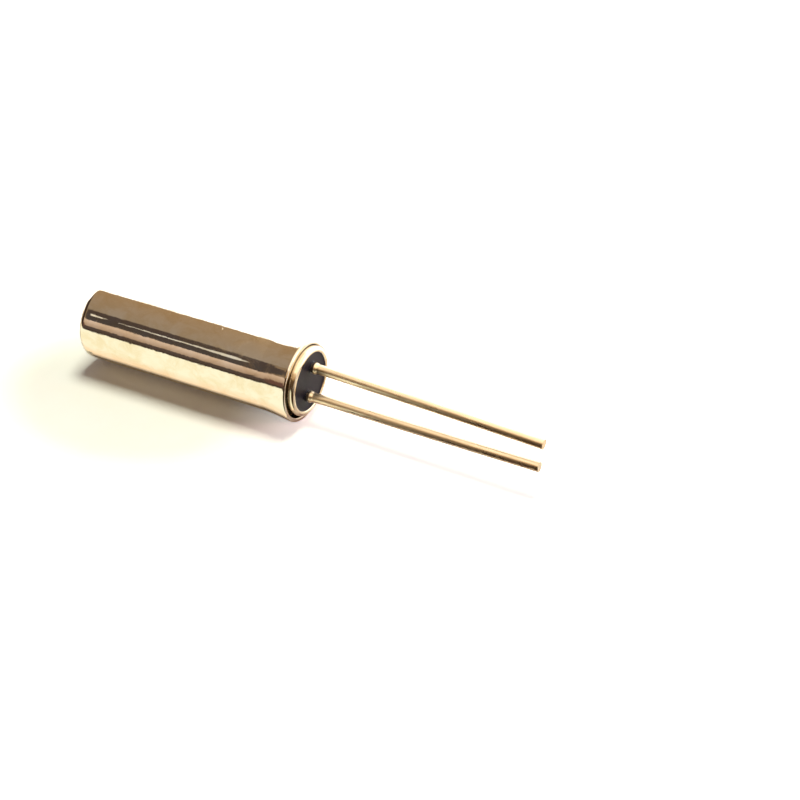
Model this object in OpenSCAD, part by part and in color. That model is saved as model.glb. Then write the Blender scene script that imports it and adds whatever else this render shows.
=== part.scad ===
// A 2 x 6 mm tuning-fork quartz crystal in a drawn metal can, with two wire leads.
//
// The part lies on its side, as it comes to rest on a table. X runs along the can
// towards the tips of the leads and Z is up. The origin is on the table, under the
// middle of the whole length. Every piece is first drawn about the can's own axis,
// with X = 0 at the front face of the header and the leads one above the other,
// and lay() then puts it in its place.

/* [Can] */
// Outside diameter of the straight wall of the can
can_d = 1.92; // [1.8:0.02:2.1]
// Length of the closed case, from the closed end to the front face of the header
case_len = 6; // [5.6:0.1:8]
// Thickness of the drawn sheet
can_wall = 0.09; // [0.06:0.01:0.12]
// Outside radius of the corner round the closed end
end_round = 0.22; // [0.16:0.02:0.4]
// How far the flared lip stands out beyond the straight wall
lip_out = 0.08; // [0.05:0.005:0.1]
// Length over which the wall flares out to the lip
flare_len = 0.7; // [0.5:0.05:0.8]
// How far the lip stays behind the front face of the header
lip_back = 0.14; // [0.08:0.01:0.2]

/* [Header] */
// Length of the metal ring that is pressed into the can
ring_len = 1.2; // [1.1:0.05:1.4]
// Wall of that ring, between the can and the glass
ring_wall = 0.14; // [0.11:0.01:0.18]
// Round on the outer front edge of the ring
ring_round = 0.05; // [0.02:0.01:0.06]
// Round on the inner front edge of the ring
ring_inner_round = 0.03; // [0.01:0.01:0.04]
// Chamfer on the inner end of the ring, which leads it into the can
ring_chamfer = 0.06; // [0.02:0.01:0.1]
// How much smaller the ring is in radius at its front than where the can grips it
ring_taper = 0.01; // [0.005:0.005:0.02]
// How far the glass stays below either end of the ring
glass_recess = 0.05; // [0.02:0.01:0.1]
// Radius of the glass that climbs each lead in front of the seal
fillet_r = 0.06; // [0.03:0.01:0.09]

/* [Leads] */
// Diameter of a tinned lead
lead_d = 0.24; // [0.18:0.01:0.26]
// Distance between the middles of the two leads at the front face of the header
lead_pitch = 0.7; // [0.64:0.02:0.8]
// Length of a lead from the front face of the header to its tip
lead_len = 6; // [4:0.5:8]
// Angle by which each lead leans towards the other one
toe_in = 0.7; // [0:0.1:1.4]
// Angle by which both leads are bent towards the front, as they lie
lead_bend = 1.6; // [0:0.2:4]
// Distance from the front face of the header to that bend
bend_at = 0.4; // [0.2:0.1:1]
// Round stretch of a lead behind the ring, inside the can
lead_tail = 0.25; // [0.15:0.05:0.4]

/* [Lead pads] */
// Length of the flattened end of a lead, which carries the fork
pad_len = 0.6; // [0.5:0.05:0.8]
// Width of the flattened end
pad_w = 0.3; // [0.24:0.02:0.34]
// Thickness of the flattened end
pad_t = 0.1; // [0.06:0.01:0.14]
// Round on the corners of the flattened end
pad_round = 0.06; // [0.02:0.01:0.1]

/* [Tuning fork] */
// Thickness of the quartz blank
fork_t = 0.12; // [0.08:0.01:0.16]
// Length of the base of the fork
base_len = 1.1; // [0.9:0.1:1.3]
// How far the base reaches beyond the outer edges of the two pads
base_margin = 0.05; // [0.02:0.01:0.08]
// Gap between the start of the pads and the end of the base
base_gap = 0.08; // [0.04:0.02:0.14]
// Length of the two tines
tine_len = 2.5; // [2.2:0.1:2.8]
// Width of one tine
tine_w = 0.24; // [0.18:0.02:0.28]
// Gap between the tines
tine_gap = 0.14; // [0.1:0.02:0.2]
// Radius of the shoulders between the base and the tines
shoulder_r = 0.12; // [0.06:0.02:0.16]

/* [Solder] */
// Thickness of the solder between a pad and the fork
solder_t = 0.03; // [0.01:0.01:0.05]
// How far the solder stays inside the edges of the pad
solder_inset = 0.03; // [0.02:0.01:0.06]

/* [Lying] */
// Angle by which the upper lead leans back from straight above the lower one
pair_lean = 21.5; // [0:0.5:90]

/* [Hidden] */
$fn = 96;
ARC_STEPS = 8;
FLARE_STEPS = 12;
FLARE_POWER = 1.3;
FILLET_EDGE_ANGLE = 205;
MERGE = 0.02;

can_r = can_d / 2;
bore_r = can_r - can_wall;
lip_r = can_r + lip_out;
glass_r = bore_r - ring_wall;
mouth = -lip_back - can_wall / 2;
flare_start = mouth - flare_len;
lead_r = lead_d / 2;
pad_start = -ring_len - lead_tail;
pad_end = pad_start - pad_len;
base_start = pad_start - base_gap;
base_end = base_start - base_len;
base_w = lead_pitch + pad_w + 2 * base_margin;
fork_w = 2 * tine_w + tine_gap;
header_x = (case_len - lead_len) / 2;

// Points of an arc about a centre, from one angle to another
function arc(centre, r, from, to) =
    [for (i = [0:ARC_STEPS]) let (a = from + (to - from) * i / ARC_STEPS)
        centre + r * [cos(a), sin(a)]];

// Points of one side of the flared wall, which bends away and runs on almost as a cone
function flare(r) =
    [for (i = [0:FLARE_STEPS]) let (t = i / FLARE_STEPS)
        [r + lip_out * pow(t, FLARE_POWER), flare_start + flare_len * t]];

function backwards(points) = [for (i = [len(points) - 1:-1:0]) points[i]];

// Turns a profile of [radius, place along the axis] points about the X axis
module turned(profile) {
    rotate([0, 90, 0])
        rotate_extrude()
            polygon(profile);
}

// Round bar along the X axis
module bar(r, from, to) {
    translate([from, 0, 0])
        rotate([0, 90, 0])
            cylinder(r = r, h = to - from);
}

// Round bar along the X axis with one bend, where its two stretches meet in a mitre
module bent_bar(r, from, bend, length, angle) {
    reach = 2 * r;
    difference() {
        bar(r, from, bend + r);
        translate([bend, 0, 0])
            rotate([0, 0, -angle / 2])
                translate([0, -reach, -reach])
                    cube(2 * reach);
    }
    translate([bend, 0, 0])
        rotate([0, 0, -angle])
            difference() {
                bar(r, -r, length);
                rotate([0, 0, angle / 2])
                    translate([-2 * reach, -reach, -reach])
                        cube(2 * reach);
            }
}

// Flat plate that faces Y, from an outline drawn in X and Z
module plate(from_y, thickness) {
    translate([0, from_y + thickness, 0])
        rotate([90, 0, 0])
            linear_extrude(thickness)
                children();
}

module rounded_rectangle(from, to, w, r) {
    translate([from, r - w / 2])
        square([to - from, w - 2 * r]);
    translate([from + r, -w / 2])
        square([to - from - 2 * r, w]);
    for (x = [from + r, to - r], y = [r - w / 2, w / 2 - r])
        translate([x, y])
            circle(r);
}

// Puts a piece into its place in the lying part
module lay() {
    translate([header_x, 0, lip_r])
        rotate([-pair_lean, 0, 0])
            children();
}

// Puts a piece on a lead, whose own axis then runs along X: side is 1 for the upper lead
// and -1 for the lower one
module at_lead(side) {
    translate([0, 0, side * lead_pitch / 2])
        rotate([0, side * toe_in, 0])
            children();
}

// Drawn can: a closed end with a round corner, a straight wall and a flared lip
module can() {
    lip_middle = lip_r - can_wall / 2;
    corner = [can_r - end_round, end_round - case_len];
    outside = concat(
        [[0, -case_len]],
        arc(corner, end_round, -90, 0),
        flare(can_r));
    lip = arc([lip_middle, mouth], can_wall / 2, 0, 180);
    inside = concat(
        [[0, can_wall - case_len]],
        arc(corner, end_round - can_wall, -90, 0),
        flare(bore_r));
    color("#d9ccb0")
        lay()
            turned(concat(outside, lip, backwards(inside)));
}

// Metal ring of the header: the can grips its back, and it tapers a little to its front
module header_ring() {
    front_r = bore_r - ring_taper;
    back = [[glass_r, -ring_len],
            [bore_r - ring_chamfer, -ring_len],
            [bore_r, ring_chamfer - ring_len],
            [bore_r, flare_start]];
    outer_edge = arc([front_r - ring_round, -ring_round], ring_round, 0, 90);
    inner_edge = arc([glass_r + ring_inner_round, -ring_inner_round], ring_inner_round, 90, 180);
    color("#e6d6b4")
        lay()
            turned(concat(back, outer_edge, inner_edge));
}

// Glass melted into the ring round both leads, which climbs a little up each lead
module glass_seal() {
    face = -glass_recess;
    fillet = arc([lead_r + fillet_r, face + fillet_r], fillet_r, 270, FILLET_EDGE_ANGLE);
    fillet_top = fillet[ARC_STEPS][1];
    color("#32343c")
        lay()
            difference() {
                union() {
                    bar(glass_r, glass_recess - ring_len, face);
                    for (side = [1, -1])
                        at_lead(side)
                            turned(concat(
                                [[0, face - MERGE], [lead_r + fillet_r, face - MERGE]],
                                fillet,
                                [[0, fillet_top]]));
                }
                for (side = [1, -1])
                    at_lead(side)
                        bar(lead_r, -2 * ring_len, ring_len);
            }
}

// One wire, from its flattened end in the can through the glass to its square-cut tip
module lead(side) {
    color("#e2cfa4")
        lay()
            at_lead(side) {
                plate(-pad_t / 2, pad_t)
                    rounded_rectangle(pad_end, pad_start + pad_round, pad_w, pad_round);
                rotate([pair_lean, 0, 0])
                    bent_bar(lead_r, pad_start, bend_at, lead_len - bend_at, lead_bend);
            }
}

// Etched quartz fork: a wide base, round shoulders and two tines
module tuning_fork() {
    color("#dfe3e6")
        lay()
            plate(pad_t / 2 + solder_t, fork_t)
                difference() {
                    union() {
                        translate([base_end, -base_w / 2])
                            square([base_len, base_w]);
                        translate([base_end - tine_len, -fork_w / 2])
                            square([tine_len + MERGE, fork_w]);
                        for (side = [0, 1])
                            mirror([0, side])
                                translate([base_end - shoulder_r, fork_w / 2 - MERGE])
                                    difference() {
                                        square([shoulder_r + MERGE, shoulder_r + MERGE]);
                                        translate([0, shoulder_r + MERGE])
                                            circle(shoulder_r);
                                    }
                    }
                    translate([base_end - tine_len - MERGE, -tine_gap / 2])
                        square([tine_len + MERGE - tine_gap / 2, tine_gap]);
                    translate([base_end - tine_gap / 2, 0])
                        circle(tine_gap / 2);
                }
}

// Solder that holds the base of the fork to the flattened end of one lead
module solder_joint(side) {
    color("#b9b6b0")
        lay()
            at_lead(side)
                plate(pad_t / 2, solder_t)
                    rounded_rectangle(pad_end + solder_inset, base_start - solder_inset,
                                      pad_w - 2 * solder_inset, pad_round);
}

can();
header_ring();
glass_seal();
lead(1);  // lead_1
lead(-1);  // lead_2
tuning_fork();
solder_joint(1);  // solder_joint_1
solder_joint(-1);  // solder_joint_2
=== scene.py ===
# %% [markdown]
# # A watch crystal in a drawn can
#
# The real part is a quartz tuning fork sealed in a metal can 6 mm long and 2 mm across,
# with two wires that leave through a glass seal. The imported model gives every solid its
# size and place. This lesson gives the part its looks: smooth turned meshes in place of
# the coarse ones, mirror-bright plating, black glass, tinned wire, and a small studio for
# all that metal to reflect.

# %% Load the imported model, with a helper that reads a node's box
import math

import bmesh
import bpy
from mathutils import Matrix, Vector, geometry, noise


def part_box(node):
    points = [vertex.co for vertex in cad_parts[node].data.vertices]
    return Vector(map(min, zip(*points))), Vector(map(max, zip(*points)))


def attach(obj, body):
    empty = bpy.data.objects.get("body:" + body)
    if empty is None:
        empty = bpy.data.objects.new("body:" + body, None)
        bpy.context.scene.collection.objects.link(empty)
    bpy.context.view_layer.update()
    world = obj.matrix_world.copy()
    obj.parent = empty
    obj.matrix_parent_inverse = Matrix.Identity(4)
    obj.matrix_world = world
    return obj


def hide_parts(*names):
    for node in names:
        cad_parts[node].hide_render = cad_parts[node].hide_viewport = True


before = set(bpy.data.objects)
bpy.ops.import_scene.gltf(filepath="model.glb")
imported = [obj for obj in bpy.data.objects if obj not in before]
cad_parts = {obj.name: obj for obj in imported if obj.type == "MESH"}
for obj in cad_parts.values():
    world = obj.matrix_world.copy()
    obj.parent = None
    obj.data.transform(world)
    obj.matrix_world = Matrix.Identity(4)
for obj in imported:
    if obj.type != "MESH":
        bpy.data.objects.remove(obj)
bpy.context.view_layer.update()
print("nodes:", ", ".join(sorted(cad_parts)))

# %% [markdown]
# ## Units and places
#
# Blender works in metres, and a part this small is easier to think about in millimetres,
# so every size below is in millimetres and `MM` turns it into metres at the last moment.
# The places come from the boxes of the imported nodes. The can lies along X, so the middle
# of its height is its axis, and half its height is the radius of its flared lip.

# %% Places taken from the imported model
MM = 0.001


def box_mm(node):
    """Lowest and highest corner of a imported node, in millimetres."""
    return [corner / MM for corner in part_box(node)]


can_low, can_high = box_mm("can")
ring_low, ring_high = box_mm("header_ring")
glass_low, glass_high = box_mm("glass_seal")
lip_r = (can_high.z - can_low.z) / 2
axis_z = (can_high.z + can_low.z) / 2
ring_r = (ring_high.z - ring_low.z) / 2
glass_r = (glass_high.z - glass_low.z) / 2
end_x = can_low.x
front_x = ring_high.x
print("axis", round(axis_z, 3), "mm up; lip", round(lip_r, 3), "mm in radius")
print("ring", round(ring_r, 3), "and glass", round(glass_r, 3), "mm in radius")

# %% [markdown]
# ## The camera
#
# The part is looked at from its front, a little from the side of the leads and from
# above, through a long lens that stands close: 47 mm away from a part 12 mm long. A camera
# in this position is easiest to give as an angle round the part, an angle up, a distance,
# and the point it looks at.

# %% Camera
CAMERA_AZIMUTH = 27.37
CAMERA_ELEVATION = 35.35
CAMERA_DISTANCE = 47.0
CAMERA_AIM = Vector((1.9685, 0.7412, 0.6915))
LENS = 90
SENSOR = 36
CLIP_NEAR = 1
CLIP_FAR = 2000

azimuth = math.radians(CAMERA_AZIMUTH)
elevation = math.radians(CAMERA_ELEVATION)
backwards = Vector((math.sin(azimuth) * math.cos(elevation),
                    -math.cos(azimuth) * math.cos(elevation),
                    math.sin(elevation)))
lens_data = bpy.data.cameras.new("camera")
lens_data.lens = LENS
lens_data.sensor_width = SENSOR
lens_data.clip_start = CLIP_NEAR * MM
lens_data.clip_end = CLIP_FAR * MM
camera = bpy.data.objects.new("camera", lens_data)
camera.location = (CAMERA_AIM + CAMERA_DISTANCE * backwards) * MM
camera.rotation_mode = "QUATERNION"
camera.rotation_quaternion = (-backwards).to_track_quat("-Z", "Y")
scene = bpy.context.scene
scene.collection.objects.link(camera)
scene.camera = camera
print("camera at", [round(v / MM, 2) for v in camera.location], "mm")

# %% [markdown]
# ## Profiles
#
# Everything on this part but the fork was turned, drawn or pulled, so its shape is a
# profile and a path. A profile here is a list of (place along X, radius) points. Straight
# stretches need only their ends, and round ones are filled in by `arc`, which counts its
# angle from the direction of the leads (0 degrees) to straight out from the axis (90).

# %% Helpers for profiles
def arc(x, r, radius, start, end, steps=12):
    """Points of an arc about the point (x, r) of a profile, from one angle to another."""
    turns = [math.radians(start + (end - start) * i / steps) for i in range(steps + 1)]
    return [(x + radius * math.cos(t), r + radius * math.sin(t)) for t in turns]


def straight(start, end, step):
    """Points between two points of a profile, no further apart than step, without the ends."""
    length = math.dist(start, end)
    count = max(1, math.ceil(length / step))
    shares = [i / count for i in range(1, count)]
    return [tuple(a + (b - a) * s for a, b in zip(start, end)) for s in shares]


# %% [markdown]
# ## Turning a profile into a mesh
#
# Blender's Screw modifier could turn a profile, but code that places the vertices leaves
# room to move each one a little, as a real drawn sheet is never a perfect cylinder. Where
# the profile meets the axis there is one vertex and a fan of triangles, so the mesh is
# closed and has no doubled points. `skin` lays the faces between rows of vertices, and it
# serves for the turned pieces and for the wires.

# %% Make a piece from vertices and faces
SHARP_FROM = 40


def piece_from(name, vertices, faces):
    """A closed, smooth-shaded mesh object in metres that rides on the part's body."""
    mesh = bpy.data.meshes.new(name)
    mesh.from_pydata([Vector(v) * MM for v in vertices], [], faces)
    shell = bmesh.new()
    shell.from_mesh(mesh)
    bmesh.ops.recalc_face_normals(shell, faces=shell.faces)
    shell.to_mesh(mesh)
    shell.free()
    mesh.shade_smooth()
    mesh.set_sharp_from_angle(angle=math.radians(SHARP_FROM))
    made = bpy.data.objects.new(name, mesh)
    scene.collection.objects.link(made)
    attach(made, "root")
    print(name, "has", len(mesh.vertices), "vertices and", len(mesh.polygons), "faces")
    return made


def skin(rows, closed=False):
    """Faces between neighbouring rows of vertices. A row is a full loop or one point."""
    pairs = list(zip(rows, rows[1:]))
    if closed:
        pairs.append((rows[-1], rows[0]))
    count = max(len(row) for row in rows)
    faces = []
    for one, two in pairs:
        for i in range(count):
            j = (i + 1) % count
            corners = [one[i % len(one)], one[j % len(one)],
                       two[j % len(two)], two[i % len(two)]]
            faces.append(list(dict.fromkeys(corners)))
    return faces


# %% Build a turned mesh
TURN_SEGMENTS = 256
ON_AXIS = 1e-9


def turned(name, profile, closed=False, wander=None):
    """Turns a profile about the can's axis. A closed profile is a ring that stays clear of
    it. The function wander gives how far each vertex stands out or in."""
    vertices = []
    rows = []
    for x, r in profile:
        count = 1 if r < ON_AXIS else TURN_SEGMENTS
        rows.append(range(len(vertices), len(vertices) + count))
        for i in range(count):
            turn = 2 * math.pi * i / TURN_SEGMENTS
            out = r + (wander(x, r, turn) if wander and count > 1 else 0)
            vertices.append((x, out * math.cos(turn), axis_z + out * math.sin(turn)))
    return piece_from(name, vertices, skin(rows, closed))


# %% [markdown]
# ## The can
#
# The can is deep-drawn: a disc of thin sheet is pushed through a die until it is a cup
# three times as deep as it is wide. That leaves a flat bottom with a round corner, a
# straight wall, and a mouth that flares out to a lip, so that the header goes in easily.
# A drawn wall is smooth, but not dead straight. Its mirror finish shows that as a slight
# wave in whatever it reflects, so each vertex moves in or out by up to two thousandths of
# a millimetre, with smooth noise. The inside of the lip is made thicker than the sheet,
# and 0.028 mm off centre, so that the gap round the ring is a thin line at the top and
# wider below.

# %% Sizes of the can, and how its sheet strays
CAN_WALL = 0.09
CAN_R = 0.96
END_ROUND = 0.22
LIP_OUT = lip_r - CAN_R
FLARE_LEN = 0.7
FLARE_POWER = 1.3
FLARE_STEPS = 28
LIP_INNER_R = 0.902
LIP_INNER_ROUND = 0.03
LIP_DEPTH = 0.2
LIP_OFF_CENTRE = 0.028
LIP_OFF_TURN = math.radians(218)
WAVE_HEIGHT = 0.002
WAVE_LENGTH = 1.6
WAVE_STRETCH = 3
SLACK = 0.001

mouth_x = can_high.x - CAN_WALL / 2
flare_x = mouth_x - FLARE_LEN
shares = [i / FLARE_STEPS for i in range(FLARE_STEPS + 1)]
flare = [(flare_x + FLARE_LEN * s, LIP_OUT * s ** FLARE_POWER) for s in shares]


def stray(x, r, turn):
    """How far the sheet stands out or in at one place, as it waves. The inside of the lip
    is off centre as a whole instead."""
    if x > mouth_x - LIP_DEPTH and r < LIP_INNER_R + LIP_INNER_ROUND + SLACK:
        return LIP_OFF_CENTRE * math.cos(turn - LIP_OFF_TURN)
    along = x / (WAVE_STRETCH * WAVE_LENGTH)
    place = Vector((along, math.cos(turn) / WAVE_LENGTH, math.sin(turn) / WAVE_LENGTH))
    fade = min(1, max(0, (flare_x - x) / FLARE_LEN + 1))
    return WAVE_HEIGHT * fade * noise.noise(place)


print("flare from", round(flare_x, 3), "to", round(mouth_x, 3), "mm along X")

# %% Can
RING_STEP = 0.08
INNER_STEP = 4 * RING_STEP

corner_x = end_x + END_ROUND
corner_r = CAN_R - END_ROUND
outside = (
    [(end_x, 0), (end_x, corner_r / 2)]
    + arc(corner_x, corner_r, END_ROUND, 180, 90)
    + straight((corner_x, CAN_R), (flare_x, CAN_R), RING_STEP)
    + [(x, CAN_R + out) for x, out in flare]
)
inner_round_x = can_high.x - LIP_INNER_ROUND
lip = (
    arc(mouth_x, lip_r - CAN_WALL / 2, CAN_WALL / 2, 90, 0)[1:]
    + arc(inner_round_x, LIP_INNER_R + LIP_INNER_ROUND, LIP_INNER_ROUND, 0, -90)
)
inside = (
    [(x, min(LIP_INNER_R, CAN_R - CAN_WALL + out)) for x, out in reversed(flare)]
    + straight((flare_x, CAN_R - CAN_WALL), (corner_x, CAN_R - CAN_WALL), INNER_STEP)
    + arc(corner_x, corner_r, END_ROUND - CAN_WALL, 90, 180)
    + [(end_x + CAN_WALL, 0)]
)
can = turned("drawn_can", outside + lip + inside, wander=stray)
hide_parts("can")

# %% [markdown]
# ## The ring of the header
#
# The ring is turned from bar and pressed into the can, and only its front edge shows. Its
# corners were rounded off in a tumbling barrel, which is what draws the thin bright line
# round the glass. Its inner end has a chamfer that leads it into the can. The can grips
# its back, and from there it tapers by a hundredth of a millimetre to its front.

# %% Header ring
RING_ROUND = 0.08
RING_INNER_ROUND = 0.03
RING_CHAMFER = 0.06
RING_TAPER = 0.01
ROUND_STEPS = 8

ring_front_r = ring_r - RING_TAPER
ring_profile = (
    [(ring_low.x, glass_r), (ring_low.x, ring_r - RING_CHAMFER),
     (ring_low.x + RING_CHAMFER, ring_r), (flare_x, ring_r)]
    + arc(front_x - RING_ROUND, ring_front_r - RING_ROUND, RING_ROUND, 90, 0, ROUND_STEPS)
    + arc(front_x - RING_INNER_ROUND, glass_r + RING_INNER_ROUND, RING_INNER_ROUND,
          0, -90, ROUND_STEPS)
)
ring = turned("pressed_ring", ring_profile, closed=True)
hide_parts("header_ring")

# %% [markdown]
# ## The leads
#
# Each lead is one wire. Outside it is round and cut square by a shear. Inside the can its
# end is stamped flat, to carry the fork. The mesh is a run of cross-sections along the
# wire: every section is a loop of points that starts as a circle and can be pressed
# towards a flat bar. Both wires are bent very slightly, just in front of the header, and a
# wire this thin is never quite straight, so the run also sways by a hundredth of a
# millimetre. When the wires were dipped, tin pooled where they leave the glass, and froze
# there as a low foot round each of them.

# %% Place of the leads
LEAD_R = 0.12
PAIR_LEAN = math.radians(21.5)
TOE_IN = math.radians(0.7)
PITCH = 0.7
BEND = math.radians(1.6)
BEND_AT = 0.4
BEND_LEN = 0.3
WIRE_SEGMENTS = 64


def bent(x):
    """How far to the front the bend has brought the middle of a wire after the length x."""
    past = x - BEND_AT + BEND_LEN / 2
    in_bend = min(BEND_LEN, max(0, past))
    return BEND * (in_bend ** 2 / (2 * BEND_LEN) + max(0, past - BEND_LEN))


def wire_point(side, x, across, up):
    """A point on or in a lead: x runs along it from the header's face, up points away from
    the other lead, and across is at right angles to both."""
    to_front = bent(x)
    along = x - to_front * BEND / 2
    leaned_x = along * math.cos(TOE_IN) + up * math.sin(TOE_IN)
    leaned = side * (PITCH / 2 + up * math.cos(TOE_IN) - along * math.sin(TOE_IN))
    y = across * math.cos(PAIR_LEAN) + leaned * math.sin(PAIR_LEAN) - to_front
    z = leaned * math.cos(PAIR_LEAN) - across * math.sin(PAIR_LEAN)
    return (front_x + leaned_x, y, axis_z + z)


print("root of the upper lead:", [round(v, 3) for v in wire_point(1, 0, 0, 0)])

# %% Cross-sections of a lead
PAD_W = 0.3
PAD_T = 0.1
PAD_SQUARENESS = 0.72
LEAD_LEN = 6.0
SWAY_ACROSS = 0.012
SWAY_UP = 0.008
TURN_ACROSS = 2.2
TURN_UP = 4.1
FOOT_OUT = 0.024
FOOT_LEN = 0.16
FOOT_PEAK = 27 / 4


def section(flat, scale):
    """A loop of (across, up) points: a circle when flat is 0, a stamped bar when it is 1."""
    power = 1 - PAD_SQUARENESS * flat
    half_t = LEAD_R + (PAD_T / 2 - LEAD_R) * flat
    half_w = LEAD_R + (PAD_W / 2 - LEAD_R) * flat
    points = []
    for i in range(WIRE_SEGMENTS):
        turn = 2 * math.pi * i / WIRE_SEGMENTS
        c, s = math.cos(turn), math.sin(turn)
        across = math.copysign(abs(c) ** power, c)
        up = math.copysign(abs(s) ** power, s)
        points.append((scale * half_t * across, scale * half_w * up))
    return points


def sway(side, x):
    """How far the free wire wanders from its line, in millimetres across and up."""
    free = max(0, x) / LEAD_LEN
    across = SWAY_ACROSS * math.sin(TURN_ACROSS * free + side) * free
    up = SWAY_UP * math.sin(TURN_UP * free) * free
    return across, up


def foot(x):
    """How many times wider the wire is where tin has pooled round it. The curve of the foot
    is 4 / 27 at its highest, and FOOT_PEAK brings that to one."""
    if not 0 < x < FOOT_LEN:
        return 1
    share = x / FOOT_LEN
    return 1 + FOOT_OUT / LEAD_R * FOOT_PEAK * share * (1 - share) ** 2


# %% Leads
TAIL_X = -1.45
PAD_LEN = 0.6
PAD_EDGE = 0.02
PAD_EDGE_SCALE = 0.9
PRESS_LEN = 0.12
PRESS_STEPS = 8
SECTION_STEP = 0.06
FOOT_STEPS = 12
TIP_EDGE = 0.012
TIP_EDGE_CUT = 0.006


def stations():
    """Places along a lead, each with how flat the wire is there and its scale."""
    pad_end = TAIL_X - PAD_LEN
    found = [(pad_end, 1, 0.0), (pad_end, 1, PAD_EDGE_SCALE), (pad_end + PAD_EDGE, 1, 1.0),
             (TAIL_X - PRESS_LEN, 1, 1.0)]
    for i in range(1, PRESS_STEPS + 1):
        share = i / PRESS_STEPS
        flat = 1 - share * share * (3 - 2 * share)
        found.append((TAIL_X - PRESS_LEN + PRESS_LEN * share, flat, 1.0))
    count = round((LEAD_LEN - TAIL_X) / SECTION_STEP)
    places = [TAIL_X + (LEAD_LEN - TAIL_X) * i / count for i in range(1, count)]
    places += [FOOT_LEN * i / FOOT_STEPS for i in range(FOOT_STEPS + 1)]
    found += [(x, 0, foot(x)) for x in sorted(places)]
    found += [(LEAD_LEN - TIP_EDGE, 0, 1.0), (LEAD_LEN, 0, 1 - TIP_EDGE_CUT),
              (LEAD_LEN, 0, 0.0)]
    return found


def wire(name, side):
    """One lead, from its stamped end to its cut tip."""
    vertices = []
    rows = []
    for x, flat, scale in stations():
        drift = sway(side, x)
        loop = section(flat, scale) if scale else [(0, 0)]
        rows.append(range(len(vertices), len(vertices) + len(loop)))
        vertices += [wire_point(side, x, a + drift[0], u + drift[1]) for a, u in loop]
    return piece_from(name, vertices, skin(rows))


leads = []
for side, name, node in ((1, "wire_upper", "lead_1"), (-1, "wire_lower", "lead_2")):
    made = wire(name, side)
    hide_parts(node)
    leads.append(made)

# %% [markdown]
# ## The glass
#
# A bead of glass is melted inside the ring, round both leads. While it is liquid it wets
# the metal, so it climbs a little at the ring and at each lead, and it freezes like that.
# The front is a flat disc with two round holes, which no grid fits. Blender can
# triangulate any set of points, so the points are laid in circles round the leads and
# inside the ring, and each is then lifted by the height of the glass at that place.

# %% Height of the glass
GLASS_RECESS = 0.05
FILLET = 0.06
FILLET_HEIGHT = 0.6
RIM_CLIMB = 0.018
RIM_FADE = 0.035
glass_front = front_x - GLASS_RECESS
glass_back = glass_low.x


def bore_centre(side, x):
    """Middle of a lead where it passes the plane x, as (y, height above the axis)."""
    place = wire_point(side, x - front_x, 0, 0)
    return Vector((place[1], place[2] - axis_z))


def from_leads(point, x):
    """Distance from a point of the plane x to the middle of the nearer lead."""
    return min((point - bore_centre(side, x)).length for side in (1, -1))


def climb(point, x):
    """How far the glass stands out from its flat face at a point of the plane x."""
    rim = RIM_CLIMB * math.exp((point.length - glass_r) / RIM_FADE)
    share = min(1, max(0, (from_leads(point, x) - LEAD_R) / FILLET))
    return rim + FILLET_HEIGHT * FILLET * (1 - math.sqrt(1 - (1 - share) ** 2))


print("glass from", round(glass_back, 3), "to", round(glass_front, 3), "mm along X")

# %% Points of one end of the glass
GLASS_SEGMENTS = 192
BORE_SEGMENTS = 48
FILLET_STEPS = 8
RIM_GAPS = (0.01, 0.025, 0.05, 0.09, 0.15, 0.22, 0.3, 0.4, 0.5, 0.6)
CLEAR_OF_LEADS = 0.075


def circle(centre, r, count):
    """Points of a circle in a plane across the axis."""
    turns = [2 * math.pi * i / count for i in range(count)]
    return [centre + r * Vector((math.cos(t), math.sin(t))) for t in turns]


def glass_points(x):
    """Points of the plane x in circles: the rim first, then the two bores, then the rest."""
    flat = circle(Vector((0, 0)), glass_r, GLASS_SEGMENTS)
    for side in (1, -1):
        flat += circle(bore_centre(side, x), LEAD_R, BORE_SEGMENTS)
    for gap in RIM_GAPS:
        row = circle(Vector((0, 0)), glass_r - gap, round(GLASS_SEGMENTS * (1 - gap)))
        flat += [p for p in row if from_leads(p, x) > LEAD_R + CLEAR_OF_LEADS]
    for side in (1, -1):
        for step in range(1, FILLET_STEPS + 1):
            r = LEAD_R + FILLET * step / FILLET_STEPS
            flat += circle(bore_centre(side, x), r, BORE_SEGMENTS)
    return flat


# %% One end of the glass
MERGE_WITHIN = 1e-7


def glass_face(x, lifted):
    """Points, triangles and edge loops of one end. Its glass climbs if lifted is 1, and
    stays flat if it is 0."""
    found = geometry.delaunay_2d_cdt(glass_points(x), [], [], 0, MERGE_WITHIN)
    points, triangles, first = found[0], found[2], found[3]
    order = {origins[0]: i for i, origins in enumerate(first)}
    solid = [(x + lifted * climb(p, x), p.x, axis_z + p.y) for p in points]
    kept = []
    for corners in triangles:
        middle = sum((points[i] for i in corners), Vector((0, 0))) / 3
        if from_leads(middle, x) > LEAD_R:
            kept.append(list(corners))
    loops = []
    start = 0
    for count in (GLASS_SEGMENTS, BORE_SEGMENTS, BORE_SEGMENTS):
        loops.append([order[i] for i in range(start, start + count)])
        start += count
    return solid, kept, loops


# %% Glass seal
front_points, front_faces, front_loops = glass_face(glass_front, 1)
back_points, back_faces, back_loops = glass_face(glass_back, 0)
shift = len(front_points)
glass_faces = front_faces + [[i + shift for i in corners] for corners in back_faces]
for front_loop, back_loop in zip(front_loops, back_loops):
    for i in range(len(front_loop)):
        j = (i + 1) % len(front_loop)
        glass_faces.append([front_loop[i], front_loop[j],
                            back_loop[j] + shift, back_loop[i] + shift])
glass = piece_from("glass_bead", front_points + back_points, glass_faces)
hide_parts("glass_seal")

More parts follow.
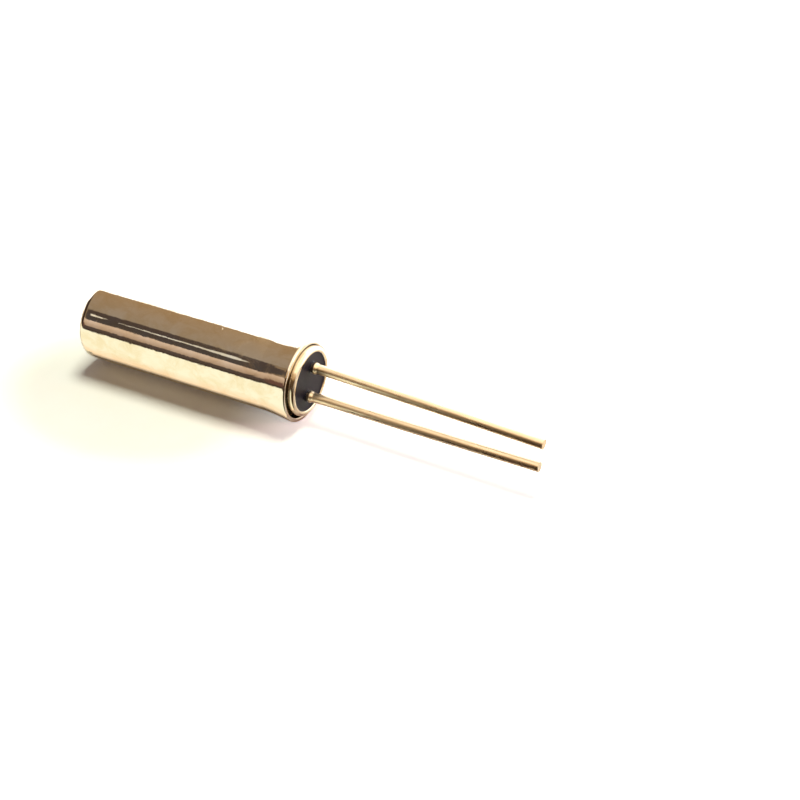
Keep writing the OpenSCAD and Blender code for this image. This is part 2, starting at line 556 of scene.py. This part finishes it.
# %% [markdown]
# ## Materials: two small helpers
#
# Colours are written the way a paint program shows them, as sRGB hex values, and one
# function turns them into the linear values that Blender calculates with. One more
# function adds a node, sets it and links its inputs, so that a material reads as a list
# of steps. Object coordinates are in metres here, so a pattern whose features are 0.1 mm
# apart needs a scale of 1 / 0.0001.

# %% Colour and node helpers
def linear(hex_colour):
    """A linear colour with alpha from an sRGB hex value such as '#d9ccb0'."""
    channels = [int(hex_colour[i:i + 2], 16) / 255 for i in (1, 3, 5)]
    return [c / 12.92 if c <= 0.04045 else ((c + 0.055) / 1.055) ** 2.4 for c in channels] + [1]


def add(tree, kind, settings=None, inputs=None):
    """Adds one node. Settings go on the node. Each input takes a value or an output to link."""
    node = tree.nodes.new(kind)
    for name, value in (settings or {}).items():
        setattr(node, name, value)
    for key, value in (inputs or {}).items():
        if isinstance(value, bpy.types.NodeSocket):
            tree.links.new(value, node.inputs[key])
        else:
            node.inputs[key].default_value = value
    return node


def new_material(name):
    """An empty material with only its output node, and the tree to fill."""
    material = bpy.data.materials.new(name)
    material.use_nodes = True
    material.node_tree.nodes.clear()
    tree = material.node_tree
    return material, tree, add(tree, "ShaderNodeOutputMaterial")


def per_mm(along, across):
    """A Mapping scale for a pattern with features that long and that wide, in millimetres."""
    return (1 / (along * MM), 1 / (across * MM), 1 / (across * MM))


def paint(piece, material):
    """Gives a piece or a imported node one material."""
    if not piece.material_slots:
        piece.data.materials.append(material)
    for place in piece.material_slots:
        place.material = material
    print(piece.name, "has the finish", material.name)


# %% [markdown]
# ## Bright nickel on a drawn can
#
# The sheet is nickel silver, and it is plated with bright nickel, which levels out the
# marks of drawing and leaves a warm mirror. Up close the mirror is not clean. Faint
# drawing marks run along the wall, handling leaves patches that are a little duller, and
# a few specks sit on it. All of that is small: it goes into roughness and a bump of a
# fraction of a micrometre, while the colour stays almost even. Its faint clouds of tint
# are painted reflection: they stand in for the soft blotches that nearby things and
# their shadows make in the mirror.

# %% Material of the can
def bright_nickel_on_drawn_sheet():
    material, tree, output = new_material("bright_nickel_on_drawn_sheet")
    place = add(tree, "ShaderNodeTexCoord").outputs["Object"]
    marks_place = add(tree, "ShaderNodeMapping", None,
                      {"Vector": place, "Scale": per_mm(1.2, 0.05)})
    marks = add(tree, "ShaderNodeTexNoise", None,
                {"Vector": marks_place.outputs[0], "Scale": 1.0, "Detail": 3.0})
    cloud_place = add(tree, "ShaderNodeMapping", None,
                      {"Vector": place, "Scale": per_mm(0.55, 0.4)})
    clouds = add(tree, "ShaderNodeTexNoise", None,
                 {"Vector": cloud_place.outputs[0], "Scale": 1.0, "Detail": 4.0,
                  "Roughness": 0.6, "Distortion": 0.6})
    dullness = add(tree, "ShaderNodeMapRange", None,
                   {"Value": clouds.outputs["Fac"], "From Min": 0.35, "From Max": 0.7,
                    "To Min": 0.05, "To Max": 0.1})
    # Painted reflection: soft clouds shift the tint a little, in place of the blotches that nearby
    # things and their shadows make in the mirror.
    painted_reflection_mottle = add(tree, "ShaderNodeMapRange", None,
                    {"Value": clouds.outputs["Fac"], "From Min": 0.38, "From Max": 0.62})
    tint = add(tree, "ShaderNodeMix", {"data_type": "RGBA"},
               {"Factor": painted_reflection_mottle.outputs[0], "A": linear("#dbd2c4"),
                "B": linear("#d4c5ad")})
    speck_place = add(tree, "ShaderNodeMapping", None,
                      {"Vector": place, "Scale": per_mm(0.5, 0.5)})
    specks = add(tree, "ShaderNodeTexVoronoi", {"feature": "F1"},
                 {"Vector": speck_place.outputs[0], "Scale": 1.0})
    pits = add(tree, "ShaderNodeMapRange", {"interpolation_type": "SMOOTHSTEP"},
               {"Value": specks.outputs["Distance"], "From Min": 0.03, "From Max": 0.08,
                "To Min": 1.0, "To Max": 0.0})
    fine = add(tree, "ShaderNodeBump", None,
               {"Strength": 0.35, "Distance": 0.0008 * MM, "Height": marks.outputs["Fac"]})
    bump = add(tree, "ShaderNodeBump", None,
               {"Strength": 0.5, "Distance": 0.006 * MM, "Height": clouds.outputs["Fac"],
                "Normal": fine.outputs[0]})
    pitted = add(tree, "ShaderNodeBump", None,
                 {"Strength": 0.5, "Distance": 0.0025 * MM, "Height": pits.outputs[0],
                  "Normal": bump.outputs[0]})
    metal = add(tree, "ShaderNodeBsdfPrincipled", None,
                {"Base Color": tint.outputs["Result"], "Metallic": 1.0,
                 "Roughness": dullness.outputs[0], "Normal": pitted.outputs[0]})
    tree.links.new(metal.outputs[0], output.inputs["Surface"])
    return material


paint(can, bright_nickel_on_drawn_sheet())

# %% [markdown]
# ## Bright nickel on a turned ring
#
# The ring has the same plating over a turned and tumbled surface, so it is a little
# duller than the can and has fine, even pits instead of drawing marks.

# %% Material of the ring
def bright_nickel_on_turned_ring():
    material, tree, output = new_material("bright_nickel_on_turned_ring")
    place = add(tree, "ShaderNodeTexCoord").outputs["Object"]
    scaled = add(tree, "ShaderNodeMapping", None,
                 {"Vector": place, "Scale": per_mm(0.08, 0.08)})
    tumbled = add(tree, "ShaderNodeTexNoise", None,
                  {"Vector": scaled.outputs[0], "Scale": 1.0, "Detail": 3.0})
    dullness = add(tree, "ShaderNodeMapRange", None,
                   {"Value": tumbled.outputs["Fac"], "To Min": 0.12, "To Max": 0.24})
    tint = add(tree, "ShaderNodeMix", {"data_type": "RGBA"},
               {"Factor": tumbled.outputs["Fac"], "A": linear("#e4d8c2"),
                "B": linear("#dccaae")})
    bump = add(tree, "ShaderNodeBump", None,
               {"Strength": 0.4, "Distance": 0.002 * MM, "Height": tumbled.outputs["Fac"]})
    metal = add(tree, "ShaderNodeBsdfPrincipled", None,
                {"Base Color": tint.outputs["Result"], "Metallic": 1.0,
                 "Roughness": dullness.outputs[0], "Normal": bump.outputs[0]})
    tree.links.new(metal.outputs[0], output.inputs["Surface"])
    return material


paint(ring, bright_nickel_on_turned_ring())

# %% [markdown]
# ## Sealing glass
#
# Sealing glass is opaque, blue-black, and smooth where it froze from the melt. A plain
# dark dielectric with the IOR of glass gives that. Its gloss is set soft and weak, well
# below that of polished glass, and a slow unevenness keeps it from looking like paint.

# %% Material of the glass
def fused_sealing_glass():
    material, tree, output = new_material("fused_sealing_glass")
    place = add(tree, "ShaderNodeTexCoord").outputs["Object"]
    scaled = add(tree, "ShaderNodeMapping", None,
                 {"Vector": place, "Scale": per_mm(0.18, 0.18)})
    uneven = add(tree, "ShaderNodeTexNoise", None,
                 {"Vector": scaled.outputs[0], "Scale": 1.0, "Detail": 3.0})
    tint = add(tree, "ShaderNodeMix", {"data_type": "RGBA"},
               {"Factor": uneven.outputs["Fac"], "A": linear("#1a1c24"),
                "B": linear("#1f212a")})
    bump = add(tree, "ShaderNodeBump", None,
               {"Strength": 0.5, "Distance": 0.004 * MM, "Height": uneven.outputs["Fac"]})
    dullness = add(tree, "ShaderNodeMapRange", None,
                   {"Value": uneven.outputs["Fac"], "To Min": 0.35, "To Max": 0.45})
    body = add(tree, "ShaderNodeBsdfPrincipled", None,
               {"Base Color": tint.outputs["Result"], "IOR": 1.52, "Specular IOR Level": 0.1,
                "Roughness": dullness.outputs[0], "Normal": bump.outputs[0]})
    tree.links.new(body.outputs[0], output.inputs["Surface"])
    return material


paint(glass, fused_sealing_glass())

# %% [markdown]
# ## Tinned wire
#
# The leads are nickel-iron wire, pulled through a die and dipped in tin. The die leaves
# fine lines along the wire, and the tin settles over them in soft, slightly uneven
# waves, so the wire is satin where the can is a mirror. The lines on the real wire are
# about 0.01 mm apart. They are drawn 0.03 mm apart here, because finer ones would not
# show.

# %% Material of the leads
def tin_on_drawn_wire():
    material, tree, output = new_material("tin_on_drawn_wire")
    place = add(tree, "ShaderNodeTexCoord").outputs["Object"]
    lines_place = add(tree, "ShaderNodeMapping", None,
                      {"Vector": place, "Scale": per_mm(1.5, 0.03)})
    lines = add(tree, "ShaderNodeTexNoise", None,
                {"Vector": lines_place.outputs[0], "Scale": 1.0, "Detail": 2.0})
    pool_place = add(tree, "ShaderNodeMapping", None,
                     {"Vector": place, "Scale": per_mm(0.7, 0.15)})
    pools = add(tree, "ShaderNodeTexNoise", None,
                {"Vector": pool_place.outputs[0], "Scale": 1.0, "Detail": 2.0})
    tint = add(tree, "ShaderNodeMix", {"data_type": "RGBA"},
               {"Factor": pools.outputs["Fac"], "A": linear("#e4d5bd"),
                "B": linear("#dac5a4")})
    dullness = add(tree, "ShaderNodeMapRange", None,
                   {"Value": pools.outputs["Fac"], "To Min": 0.2, "To Max": 0.38})
    drawn = add(tree, "ShaderNodeBump", None,
                {"Strength": 0.5, "Distance": 0.002 * MM, "Height": lines.outputs["Fac"]})
    bump = add(tree, "ShaderNodeBump", None,
               {"Strength": 0.5, "Distance": 0.01 * MM, "Height": pools.outputs["Fac"],
                "Normal": drawn.outputs[0]})
    metal = add(tree, "ShaderNodeBsdfPrincipled", None,
                {"Base Color": tint.outputs["Result"], "Metallic": 1.0,
                 "Roughness": dullness.outputs[0], "Normal": bump.outputs[0]})
    tree.links.new(metal.outputs[0], output.inputs["Surface"])
    return material


wire_finish = tin_on_drawn_wire()
for lead in leads:
    paint(lead, wire_finish)

# %% [markdown]
# ## Quartz and solder
#
# The fork and its solder sit inside the closed can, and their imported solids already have
# the right shape, so they only get their finish. The fork is clear etched quartz with
# thin gold electrodes along its tines. The solder froze dull and grainy.

# %% Material of the fork
GOLD_PLACE = 0.18
GOLD_HALF_WIDTH = 0.07


def etched_quartz_with_gold():
    material, tree, output = new_material("etched_quartz_with_gold")
    place = add(tree, "ShaderNodeTexCoord").outputs["Object"]
    parts = add(tree, "ShaderNodeSeparateXYZ", None, {0: place})
    height = add(tree, "ShaderNodeMath", {"operation": "SUBTRACT"},
                 {0: parts.outputs["Z"], 1: axis_z * MM})
    off_middle = add(tree, "ShaderNodeMath", {"operation": "ABSOLUTE"}, {0: height.outputs[0]})
    from_stripe = add(tree, "ShaderNodeMath", {"operation": "SUBTRACT"},
                      {0: off_middle.outputs[0], 1: GOLD_PLACE * MM})
    stripe = add(tree, "ShaderNodeMath", {"operation": "COMPARE"},
                 {0: from_stripe.outputs[0], 1: 0.0, 2: GOLD_HALF_WIDTH * MM})
    grain_place = add(tree, "ShaderNodeMapping", None,
                      {"Vector": place, "Scale": per_mm(0.05, 0.05)})
    grain = add(tree, "ShaderNodeTexNoise", None, {"Vector": grain_place.outputs[0], "Scale": 1.0})
    bump = add(tree, "ShaderNodeBump", None,
               {"Strength": 0.3, "Distance": 0.001 * MM, "Height": grain.outputs["Fac"]})
    quartz = add(tree, "ShaderNodeBsdfPrincipled", None,
                 {"Base Color": linear("#f2f5f7"), "Roughness": 0.12, "IOR": 1.54,
                  "Transmission Weight": 0.85, "Normal": bump.outputs[0]})
    gold = add(tree, "ShaderNodeBsdfPrincipled", None,
               {"Base Color": linear("#f0cf7e"), "Metallic": 1.0, "Roughness": 0.2,
                "Normal": bump.outputs[0]})
    both = add(tree, "ShaderNodeMixShader", None,
               {0: stripe.outputs[0], 1: quartz.outputs[0], 2: gold.outputs[0]})
    tree.links.new(both.outputs[0], output.inputs["Surface"])
    return material


paint(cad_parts["tuning_fork"], etched_quartz_with_gold())


# %% Material of the solder
def frozen_tin_solder():
    material, tree, output = new_material("frozen_tin_solder")
    place = add(tree, "ShaderNodeTexCoord").outputs["Object"]
    grain_place = add(tree, "ShaderNodeMapping", None,
                      {"Vector": place, "Scale": per_mm(0.03, 0.03)})
    grain = add(tree, "ShaderNodeTexNoise", None,
                {"Vector": grain_place.outputs[0], "Scale": 1.0, "Detail": 3.0})
    tint = add(tree, "ShaderNodeMix", {"data_type": "RGBA"},
               {"Factor": grain.outputs["Fac"], "A": linear("#c9c6bf"),
                "B": linear("#a5a29c")})
    bump = add(tree, "ShaderNodeBump", None,
               {"Strength": 0.6, "Distance": 0.003 * MM, "Height": grain.outputs["Fac"]})
    metal = add(tree, "ShaderNodeBsdfPrincipled", None,
                {"Base Color": tint.outputs["Result"], "Metallic": 1.0, "Roughness": 0.45,
                 "Normal": bump.outputs[0]})
    tree.links.new(metal.outputs[0], output.inputs["Surface"])
    return material


solder = frozen_tin_solder()
for node in ("solder_joint_1", "solder_joint_2"):
    paint(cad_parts[node], solder)

# %% [markdown]
# ## The table
#
# The part lies on a white laminate top. It is just off white, with a weak and soft gloss.
# For the camera alone a little light is added, so that the lit top is white. That
# addition depends on the place: it is almost nothing round the middle of the can's
# shadow, which keeps its depth, and it grows from there outwards. The thin shadow of the
# leads lies where it is strong, and stays only faintly.

# %% Finish of the table
CAMERA_LIFT = 0.60
LIFT_IN_THE_SHADOW = 0.022
SHADOW_PLACE = (-4.3, -1.3, 0)
SHADOW_REACH = (2.9, 2.3, 1)
LIFT_STARTS = 0.8
LIFT_IS_FULL = 1.7


def white_laminate():
    material, tree, output = new_material("white_laminate")
    place = add(tree, "ShaderNodeTexCoord").outputs["Object"]
    scaled = add(tree, "ShaderNodeMapping", None,
                 {"Vector": place, "Scale": per_mm(1.5, 1.5)})
    mottle = add(tree, "ShaderNodeTexNoise", None,
                 {"Vector": scaled.outputs[0], "Scale": 1.0, "Detail": 3.0})
    tint = add(tree, "ShaderNodeMix", {"data_type": "RGBA"},
               {"Factor": mottle.outputs["Fac"], "A": linear("#fdfcf8"),
                "B": linear("#faf6ec")})
    top = add(tree, "ShaderNodeBsdfPrincipled", None,
              {"Base Color": tint.outputs["Result"], "Roughness": 0.5, "IOR": 1.45,
               "Specular IOR Level": 0.1})
    from_shadow = add(tree, "ShaderNodeMapping", {"vector_type": "TEXTURE"},
                      {"Vector": place, "Location": Vector(SHADOW_PLACE) * MM,
                       "Scale": Vector(SHADOW_REACH) * MM})
    away = add(tree, "ShaderNodeVectorMath", {"operation": "LENGTH"},
               {0: from_shadow.outputs[0]})
    lift = add(tree, "ShaderNodeMapRange", {"interpolation_type": "SMOOTHSTEP"},
               {"Value": away.outputs["Value"], "From Min": LIFT_STARTS,
                "From Max": LIFT_IS_FULL, "To Min": LIFT_IN_THE_SHADOW,
                "To Max": CAMERA_LIFT})
    path = add(tree, "ShaderNodeLightPath")
    seen = add(tree, "ShaderNodeMath", {"operation": "MULTIPLY"},
               {0: lift.outputs[0], 1: path.outputs["Is Camera Ray"]})
    glow = add(tree, "ShaderNodeEmission", None, {"Strength": seen.outputs[0]})
    both = add(tree, "ShaderNodeAddShader", None, {0: top.outputs[0], 1: glow.outputs[0]})
    tree.links.new(both.outputs[0], output.inputs["Surface"])
    return material


# %% Table
TABLE_SIZE = 600


def stage_mesh(name, vertices, faces, material):
    """A mesh in millimetres that belongs to the stage and not to the part."""
    mesh = bpy.data.meshes.new(name)
    mesh.from_pydata([Vector(v) * MM for v in vertices], [], faces)
    mesh.materials.append(material)
    made = bpy.data.objects.new(name, mesh)
    scene.collection.objects.link(made)
    return made


half = TABLE_SIZE / 2
stage_mesh("table", [(-half, -half, 0), (half, -half, 0), (half, half, 0), (-half, half, 0)],
           [(0, 1, 2, 3)], white_laminate())
print("table", TABLE_SIZE, "mm square")

# %% [markdown]
# ## What the metal sees
#
# A mirror has no looks of its own: the can is as good as what stands round it. The studio
# is a set of cards bent round the part, like the inside of a tunnel along X. Each card is
# given by its angles from straight up, with positive angles towards the camera's side,
# and by its two places along X. The cards show only in reflections: no diffuse surface
# is lit by them, and they throw no shadow. From the back they are clear, so that none
# hides another.

# %% A stage piece that glows
def glow_mesh(name, vertices, faces, shades, strength):
    """A stage piece that shines in a colour of its own at each vertex, and that only the
    metal sees, from the side that its faces turn to."""
    material, tree, output = new_material(name)
    shade = add(tree, "ShaderNodeAttribute", {"attribute_name": "shade"})
    light = add(tree, "ShaderNodeEmission", None,
                {"Color": shade.outputs["Color"], "Strength": strength})
    side = add(tree, "ShaderNodeNewGeometry")
    clear = add(tree, "ShaderNodeBsdfTransparent")
    both = add(tree, "ShaderNodeMixShader", None,
               {0: side.outputs["Backfacing"], 1: light.outputs[0], 2: clear.outputs[0]})
    tree.links.new(both.outputs[0], output.inputs["Surface"])
    made = stage_mesh(name, vertices, faces, material)
    colours = [part for colour in shades for part in colour]
    stored = made.data.color_attributes.new("shade", "FLOAT_COLOR", "POINT")
    stored.data.foreach_set("color", colours)
    made.visible_camera = False
    made.visible_diffuse = False
    made.visible_shadow = False
    made.visible_transmission = False
    print(name, "glows at", strength)


# %% Bent cards
CARD_R = 90
CARD_STEP = 2


def card(name, angles, span, colours, strength=1.0, widths=(1, 1), radius=CARD_R):
    """A bent card between two angles and two places along X, which fades from its first
    colour to its last. Its widths are the shares of its angles at its start and its end."""
    steps = max(1, math.ceil((angles[1] - angles[0]) / CARD_STEP))
    middle = sum(angles) / 2
    first, last = linear(colours[0]), linear(colours[-1])
    vertices = []
    shades = []
    for i in range(steps + 1):
        share = i / steps
        turn = angles[0] + (angles[1] - angles[0]) * share
        for x, width in zip(span, widths):
            angle = math.radians(middle + (turn - middle) * width)
            vertices.append((x, -radius * math.sin(angle), axis_z + radius * math.cos(angle)))
            shades.append([a + (b - a) * share for a, b in zip(first, last)])
    faces = [(2 * i, 2 * i + 1, 2 * i + 3, 2 * i + 2) for i in range(steps)]
    glow_mesh(name, vertices, faces, shades, strength)


# %% [markdown]
# ## The cards round the can
#
# Behind the part stands a bright window card, and above it hangs a warm ceiling. On the
# camera's side are two dark drapes with a pale gap between them, and the straight wall
# shows them as bands along the can. Where the wall leans, in the flare and in the round
# corner of the closed end, it looks further towards -X. There the drapes and the gap go
# on in other colours. Beyond them all is gloom, which only the round corner sees, as its
# dark outline. A card can be narrower at one end, as the end of the upper drape is.

# %% Window, ceiling and upper drape
TUNNEL_START = -260
GLOOM_END = -110
BAND_POINT = -80
BAND_START = -67
LEAD_START = -42.5
TUNNEL_END = 260
LOWEST = 90.66
UPPER_DRAPE = ["#5a4d48", "#56504e"]

whole = (TUNNEL_START, TUNNEL_END)
far_behind = (TUNNEL_START, GLOOM_END)
behind = (GLOOM_END, BAND_START)
up_to_leads = (GLOOM_END, LEAD_START)
bands = (BAND_START, LEAD_START)
ahead = (LEAD_START, TUNNEL_END)
card("window_card", (-90, -36), whole, ["#ffffff"], strength=2.4)
card("gloom", (-36, LOWEST), far_behind, ["#40332e"])
card("ceiling", (-36, 35), up_to_leads, ["#bc9e79", "#b0a18f"])
card("far_drape", (35, 63), behind, ["#a08a70"])
card("drape_high", (35, 65), bands, UPPER_DRAPE)
card("drape_high_end", (35, 65), (BAND_POINT, BAND_START), UPPER_DRAPE,
     widths=(0.3, 1), radius=CARD_R - 1)

# %% [markdown]
# ## A slit in the upper drape
#
# A thin bright streak runs along the upper dark band. It comes from a slit between the
# drapes. A slit far away would show a second time in the flare, whose wall leans towards
# it. One that stands only 2 mm from the axis shows once, on the stretch of wall beside
# it. Its parts follow each other along X: a glint by the closed end, a break, and a
# streak that grows wider and ends in a point.

# %% Slit
NEAR_R = 2.0
SLIT_ANGLES = (46.1, 52.9)
SLIT_COLOUR = "#f4f2e8"
SLIT_PARTS = (
    ("glint", (-6.3, -5.8), 1.4, (0.7, 0.1)),
    ("slit_start", (-5.46, -3.4), 1.2, (0.12, 0.32)),
    ("slit", (-3.4, -2.15), 1.1, (0.32, 0.85)),
    ("slit_end", (-2.15, -1.73), 1.1, (0.85, 0.05)),
)
for name, span, strength, widths in SLIT_PARTS:
    card(name, SLIT_ANGLES, span, [SLIT_COLOUR], strength, widths, NEAR_R)

# %% Pale gap and lower drape
PALE_GAP = ["#ffe6d0", "#c8ae97"]

card("gap_low_far", (63, 79), behind, PALE_GAP)
card("gap_low", (65, 83), bands, PALE_GAP)
card("drape_low_far", (79, LOWEST), behind, ["#7a5a52"])
card("drape_low", (83, LOWEST), bands, ["#5f524c"])

# %% [markdown]
# ## The cards ahead of the part
#
# The leads stand further along X than the can, so they mirror what stands further along
# too, and the lip and the ring have edges that turn towards +X. They get cards of their
# own: a bright ceiling, a tan drape below it, and a dark one down to the table.

# %% Cards ahead
card("pale_ceiling", (-36, 40), ahead, ["#fff4e0", "#f8e8d0"], strength=2.0)
card("tan_drape", (40, 62), ahead, ["#e4c8a4", "#ac8a62"], strength=1.3)
card("dark_drape", (62, LOWEST), ahead, ["#5c4630", "#4a3828"])

# %% [markdown]
# ## What the metal sees of the table
#
# The lower half of the can mirrors the table. The lit top in front of the part is bright
# there and a little warm near the can, and it ends in the dark edge of the can's own
# shadow. Behind the part the top is lit too, and warm close to the can. Thin strips just
# above the top paint all that in as reflections, because their levels can be set one by
# one. They glow upwards and for the metal alone, so the camera still sees the real table
# under them. A dark flag lies in front of the leads as a painted dark reflection for
# their lower sides, and a wall closes the tunnel at its end towards -X.

# %% Strips over the table
STRIP_UP = 0.010
FLAG_UP = 0.014
TABLE_BACK = 60
WARM_START = 2.7
WARM_END = 1.3
GLOOM_BACK = -0.6
SHADOW_EDGE = -0.64
LIT_FROM = -0.92
FULLY_LIT = -1.5
TABLE_FRONT = -12
TABLE_GLOOM_END = -14
SHADOW_END = -0.4
FLAG_START = 0.3
LIT_TABLE = 1.46


def strip(name, span, rows, strength=1.0, up=STRIP_UP):
    """A strip that lies just above the table between two places along X. Each row is a place
    along Y, from the back to the front, and the colour there."""
    vertices = [(x, y, up) for y, colour in rows for x in span]
    shades = [linear(colour) for y, colour in rows for x in span]
    faces = [(2 * i, 2 * i + 2, 2 * i + 3, 2 * i + 1) for i in range(len(rows) - 1)]
    glow_mesh(name, vertices, faces, shades, strength)


# Painted reflections of the lit table, of its warm light near the can and of the can's shadow;
# only the metal sees them.
strip("lit_table_behind", whole,
      [(TABLE_BACK, "#ffffff"), (WARM_START, "#ffffff")], strength=2.2)
strip("warm_lit_table_behind", whole,
      [(WARM_START, "#ffe9cc"), (WARM_END, "#ffe9cc")], strength=1.3)
strip("far_edge_of_the_table", whole, [(TABLE_FRONT, "#50443c"), (-CARD_R, "#50443c")])
strip("table_in_gloom", (TUNNEL_START, TABLE_GLOOM_END),
      [(GLOOM_BACK, "#5a4636"), (TABLE_FRONT, "#5a4636")])
strip("lit_table", (TABLE_GLOOM_END, FLAG_START),
      [(LIT_FROM, "#ffe8c7"), (FULLY_LIT, "#ffffe6"), (TABLE_FRONT, "#ffffe6")],
      strength=LIT_TABLE)
strip("edge_of_the_shadow", (end_x, SHADOW_END),
      [(SHADOW_EDGE, "#42382f"), (LIT_FROM, "#ffe8c7")], strength=LIT_TABLE)

# %% End wall and flag
WALL_COLOUR = linear("#5c4636")
FLAG_END = 9
FLAG_BACK = -0.8
FLAG_FRONT = -13

wall_corners = ((-CARD_R, 0), (CARD_R, 0), (CARD_R, CARD_R), (-CARD_R, CARD_R))
glow_mesh("end_wall", [(TUNNEL_START, y, z) for y, z in wall_corners], [(0, 1, 2, 3)],
          [WALL_COLOUR] * len(wall_corners), 1.0)
# Painted dark reflection: a dark strip that only the metal sees, so that the lower sides of the
# leads mirror dark.
strip("dark_reflection_flag_under_the_leads", (FLAG_START, FLAG_END),
      [(FLAG_BACK, "#4c3a2a"), (FLAG_FRONT, "#3c2e22")], up=FLAG_UP)

# %% [markdown]
# ## Light
#
# Two soft lamps light the part. The ceiling lamp stands almost straight above, a little
# behind, and throws a short shadow towards the camera. A weak, reddish side lamp stands
# low on the side of the leads and warms part of that shadow. The world fills in from all
# round, faintly. Together they light a flat white top at a strength of about one, so
# that every colour renders about as it is written. The camera, mirrors and glass see the
# world as plain white.

# %% Lamps
LAMP_DISTANCE = 120


def lamp(name, share, rise, turn, size):
    """A square lamp that gives the table its share of the light. It stands behind the part,
    turned from there towards +X, and is not seen in reflections. Its power is the one at
    which a flat white top shows that share as its own strength."""
    up = math.radians(rise)
    side = math.radians(turn)
    place = Vector((math.sin(side) * math.cos(up), math.cos(side) * math.cos(up),
                    math.sin(up)))
    level = max(share)
    data = bpy.data.lights.new(name, "AREA")
    data.shape = "SQUARE"
    data.size = size * MM
    data.color = [part / level for part in share]
    data.energy = level * math.pi ** 2 * (LAMP_DISTANCE * MM) ** 2 / math.sin(up)
    made = bpy.data.objects.new(name, data)
    made.location = place * LAMP_DISTANCE * MM
    made.rotation_mode = "QUATERNION"
    made.rotation_quaternion = (-place).to_track_quat("-Z", "Y")
    made.visible_glossy = False
    scene.collection.objects.link(made)
    print(name, "gives the table", share)


lamp("ceiling_lamp", (0.86, 0.91, 0.78), rise=78, turn=0, size=44)
lamp("side_lamp", (0.24, 0.135, 0.145), rise=12, turn=76, size=50)

# %% World
FILL = (0.06, 0.028, 0.035)

world = bpy.data.worlds.new("plain_studio")
scene.world = world
world.use_nodes = True
tree = world.node_tree
tree.nodes.clear()
path = add(tree, "ShaderNodeLightPath")
direct = add(tree, "ShaderNodeMath", {"operation": "ADD"},
             {0: path.outputs["Is Camera Ray"], 1: path.outputs["Is Glossy Ray"]})
sees_white = add(tree, "ShaderNodeMath", {"operation": "ADD", "use_clamp": True},
                 {0: direct.outputs[0], 1: path.outputs["Is Transmission Ray"]})
mixed = add(tree, "ShaderNodeMix", {"data_type": "RGBA"},
            {"Factor": sees_white.outputs[0], "A": list(FILL) + [1], "B": (1, 1, 1, 1)})
sky = add(tree, "ShaderNodeBackground", None,
          {"Color": mixed.outputs["Result"], "Strength": 1.0})
add(tree, "ShaderNodeOutputWorld", None, {0: sky.outputs[0]})
print("fill light", FILL)

# %% [markdown]
# ## Colour management and the end
#
# The Standard view transform shows colours as they are written.

# %% Finish
scene.view_settings.view_transform = "Standard"
